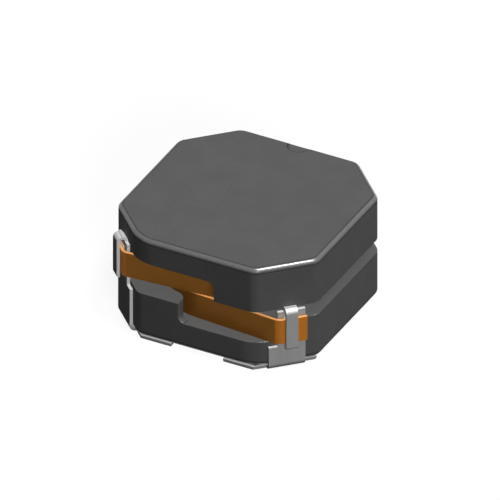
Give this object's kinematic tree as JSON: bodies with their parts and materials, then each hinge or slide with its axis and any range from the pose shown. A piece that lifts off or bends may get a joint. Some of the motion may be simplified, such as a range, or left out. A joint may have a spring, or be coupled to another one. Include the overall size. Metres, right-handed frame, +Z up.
{
  "type": "shielded smd inductor",
  "caption": "Octagonal shielded surface-mount power inductor: ferrite half shells round a flat copper ribbon coil, with formed clip terminals at the front corners.",
  "frame": {"origin": "on the board plane, under the middle of the body", "axes": "+Z up from the board, +Y to the back edge, -Y to the side where the coil's ends come out, +X to the right"},
  "size_m": [0.0126, 0.0126, 0.0067],
  "materials": {
    "ferrite": "matt dark grey sintered ferrite",
    "copper": "enamelled copper, satin",
    "tinned_sheet": "satin tin plate",
    "solder": "smooth solder",
    "adhesive": "cured dark epoxy"
  },
  "bodies": {
    "root": {"lower_core": "ferrite", "upper_core": "ferrite", "post_bond_film": "adhesive", "flat_wire_coil": "copper", "left_terminal": "tinned_sheet", "right_terminal": "tinned_sheet", "left_solder_joint": "solder", "right_solder_joint": "solder", "left_bond_film": "adhesive", "right_bond_film": "adhesive", "back_support_pad": "tinned_sheet", "back_bond_film": "adhesive"}
  },
  "joints": []
}
